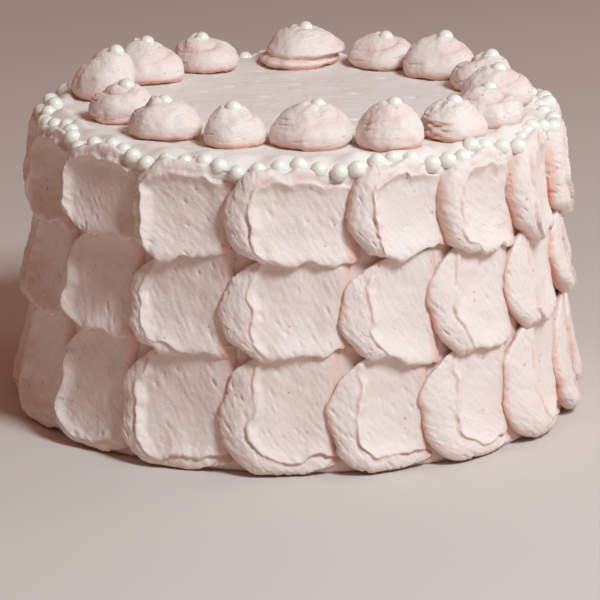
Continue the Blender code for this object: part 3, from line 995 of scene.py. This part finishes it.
def dollop_marks(turn, reach, rng):
    # The nozzle's pull leaves lumps round the peak, and the side has shallow dents
    marks = np.zeros_like(turn + reach)
    for mark in range(MARKS):
        limits = CROWN_MARK if mark < CROWN_MARKS else SIDE_MARK
        mark_turn, mark_reach, mark_height, mark_size = (rng.uniform(*pair) for pair in limits)
        away = np.abs((turn - mark_turn + math.pi) % (2.0 * math.pi) - math.pi) * reach
        apart = np.hypot(away, reach - mark_reach * MM)
        marks = marks + mark_height * MM * bump_at(apart, 0.0, mark_size * MM)
    return marks


def piped_dollop(index, values):
    angle, distance, width, height, lean_x, lean_y = values
    rng = random.Random(40 + index)
    phase = rng.random()
    width *= MM
    height *= MM
    lean_x *= MM
    lean_y *= MM
    reach, rise, down = mound_outline(width, height)
    reach, rise, down = (steps[1:, None] for steps in (reach, rise, down))
    turn = np.linspace(0.0, 2.0 * math.pi, DOLLOP_AROUND, endpoint=False)[None, :]
    # The rope winds down from the peak, and its turns meet in a crease that comes and goes
    turns = rng.uniform(*ROPE_TURNS)
    boldness = rng.uniform(*ROPE_BOLDNESS)
    wound = turn / (2.0 * math.pi) + phase + turns * down ** 0.8
    strength = 0.65 + 0.5 * np.sin(turn + 6.0 * phase) + 0.2 * np.sin(2.0 * turn + 9.0 * phase)
    strength = np.clip(strength, 0.12, 1.2) * (1.15 - 0.75 * down)
    crease = 1.0 - np.abs(np.sin(math.pi * wound)) ** 0.55
    fade_in = eased(down, 0.02, 0.16) * (1.0 - eased(down, 0.90, 1.0))
    depth = ROPE_CREASE * boldness * crease * strength * fade_in
    marks = dollop_marks(turn, reach, rng)
    lobes = 0.98 + 0.035 * np.sin(2.0 * turn + 5.0 * phase)
    lobes = lobes + 0.025 * np.sin(3.0 * turn + 11.0 * phase)
    lobes = lobes + 0.03 * np.sin(5.0 * turn + 4.0 * down + 7.0 * phase) * (1.0 - down)
    slope = np.gradient(rise[:, 0], reach[:, 0] + 1e-9 * np.arange(len(reach)))[:, None]
    steep = np.clip(np.abs(slope), 0.0, 3.0) / 3.0
    fallen_over = (rise / height) ** 2
    set_in, pushed, gap_painted_shade = own_form(index, turn, down, rise / height)
    radius = reach * lobes - depth * (0.35 + 0.65 * steep) + marks * steep - set_in
    top = rise + (marks - depth) * (1.0 - steep)
    points = np.stack(
        [
            radius * np.cos(turn) + lean_x * fallen_over + pushed,
            radius * np.sin(turn) + lean_y * fallen_over,
            top,
        ],
        axis=-1,
    )
    peak = np.array([lean_x + pushed[0, 0], lean_y, height * MOUND[0][1]])
    points = np.vstack([points.reshape(-1, 3), peak, [[0.0, 0.0, 0.0]]])
    # A dollop's rings run down from its peak, so its faces are turned the other way round
    quads, caps = ring_faces(*radius.shape)
    faces = quads[:, [0, 3, 2, 1]].tolist() + caps[:, [0, 2, 1]].tolist()
    bearing = math.radians(angle)
    seat = np.array([
        distance * MM * math.sin(bearing),
        -distance * MM * math.cos(bearing),
        TOP_HEIGHT + DOLLOP_GAP,
    ])
    # The streaks follow the rope, at a place of their own for each dollop
    apart = 0.1 * index
    on_rope = [wound * 0.05, down * 0.02 + np.zeros_like(turn), np.full_like(radius, apart)]
    drawn = np.stack(on_rope, axis=-1).reshape(-1, 3)
    drawn = np.concatenate([drawn, [[0.0, 0.0, apart], [0.0, 0.02, apart]]])
    # Painted shade: the colour is darkened toward the deep colour in the rope's crease, low on the
    # side, at the foot where it meets the coat, round the pearl at the peak and in the gap or tear; the
    # peak and foot points get it too
    dollop_painted_shade = 0.3 * crease * strength * fade_in + 0.08 * eased(down, 0.72, 0.86)
    dollop_painted_shade = dollop_painted_shade + 0.6 * eased(down, 0.87, 0.97)
    dollop_painted_shade = dollop_painted_shade + 0.5 * (1.0 - eased(reach, 1.5 * MM, 3.2 * MM)) + gap_painted_shade
    piece = mesh_piece(
        "piped_dollop_%02d" % index,
        points + seat,
        faces,
        {
            "draw": drawn,
            "rough": np.ones(len(points)),
            "crease": np.concatenate([dollop_painted_shade.ravel(), [0.5, 0.3]]),
        },
    )
    shaped_by(
        piece, RELIEF, dollop_finish,
        lump_size=0.010, lump_height=0.0013, ripple_size=0.0024, ripple_height=0.00042,
        streak_length=0.008, streak_width=0.0020, streak_height=0.00012,
        pit_spacing=0.0024, pit_depth=0.0005,
    )
    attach(piece, "root")
    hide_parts("dollop_%02d" % index)
    return seat + peak + np.array([PEARL_SIDE, 0.0, (1.0 - MOUND[0][1]) * height - PEARL_SINK])


dollop_finish = icing("dollop_icing", DOLLOP_LIGHT, ICING_PAINTED_SHADE_AND_TONE, 0.0009, 0.0027, 0.00032)
crown_places = [piped_dollop(index, values) for index, values in enumerate(DOLLOPS, start=1)]


# The pearls on the dollops
# One sugar pearl of the same kind is set on each dollop, a little to the right of its
# peak, and sunk about halfway into the icing. All fifteen are one piece here.

dollop_pearls = laid_pearls("dollop_pearls", crown_places, 8)
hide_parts(*["dollop_%02d" % index for index in range(1, len(DOLLOPS) + 1)])


# The studio
# A plain pale floor, a large soft light from high on the right, a weaker one from the
# right and a little behind, and an even warm fill.

FLOOR_SIZE = 8.0
CAMERA_DISTANCE = 1.5
CAMERA_HEIGHT = 0.450
AIM_HEIGHT = 0.0370
AIM_SIDE = 0.0006
LENS = 244.6
KEY_AZIMUTH = 38.0
KEY_ELEVATION = 46.0
KEY_DISTANCE = 1.5
KEY_SIZE = 0.36
KEY_POWER = 17.7
KEY_COLOUR = (0.87, 1.035, 1.085)
SIDE_PLACE = (1.45, 0.5, 0.55)
SIDE_SIZE = 0.6
SIDE_POWER = 4.0
SIDE_COLOUR = (1.0, 0.95, 0.92)
FILL_STRENGTH = 0.245
FILL_COLOUR = (1.0, 0.50, 0.36, 1.0)
FLOOR_COLOUR = (0.66, 0.59, 0.545, 1.0)


def plain_floor():
    mesh = bpy.data.meshes.new("floor")
    half = 0.5 * FLOOR_SIZE
    corners = [(-half, -half, 0.0), (half, -half, 0.0), (half, half, 0.0), (-half, half, 0.0)]
    mesh.from_pydata(corners, [], [(0, 1, 2, 3)])
    floor = bpy.data.objects.new("floor", mesh)
    bpy.context.scene.collection.objects.link(floor)
    material = bpy.data.materials.new("pale_floor")
    material.use_nodes = True
    shader = material.node_tree.nodes["Principled BSDF"]
    shader.inputs["Base Color"].default_value = FLOOR_COLOUR
    shader.inputs["Roughness"].default_value = 0.9
    mesh.materials.append(material)


def aimed(thing, place, target):
    thing.location = place
    direction = np.array(target) - np.array(place)
    reach = math.hypot(direction[0], direction[1])
    pitch = math.atan2(direction[2], reach)
    yaw = math.atan2(direction[1], direction[0]) - 0.5 * math.pi
    thing.rotation_euler = (0.5 * math.pi + pitch, 0.0, yaw)
    bpy.context.scene.collection.objects.link(thing)


plain_floor()
key_light = bpy.data.lights.new("key", "AREA")
key_light.shape = "SQUARE"
key_light.size = KEY_SIZE
key_light.energy = KEY_POWER
key_light.color = KEY_COLOUR
key_reach = KEY_DISTANCE * math.cos(math.radians(KEY_ELEVATION))
key_place = (
    key_reach * math.sin(math.radians(KEY_AZIMUTH)),
    -key_reach * math.cos(math.radians(KEY_AZIMUTH)),
    KEY_DISTANCE * math.sin(math.radians(KEY_ELEVATION)),
)
aimed(bpy.data.objects.new("key", key_light), key_place, (0.0, 0.0, 0.08))
side_light = bpy.data.lights.new("side", "AREA")
side_light.shape = "SQUARE"
side_light.size = SIDE_SIZE
side_light.energy = SIDE_POWER
side_light.color = SIDE_COLOUR
aimed(bpy.data.objects.new("side", side_light), SIDE_PLACE, (0.0, 0.0, 0.08))
world = bpy.data.worlds.new("studio")
bpy.context.scene.world = world
world.use_nodes = True
background = world.node_tree.nodes["Background"]
background.inputs["Color"].default_value = FILL_COLOUR
background.inputs["Strength"].default_value = FILL_STRENGTH
camera = bpy.data.cameras.new("camera")
camera.lens = LENS
camera.sensor_width = 36.0
viewer = bpy.data.objects.new("camera", camera)
aimed(viewer, (AIM_SIDE, -CAMERA_DISTANCE, CAMERA_HEIGHT), (AIM_SIDE, 0.0, AIM_HEIGHT))
bpy.context.scene.camera = viewer
bpy.context.scene.view_settings.view_transform = "Standard"
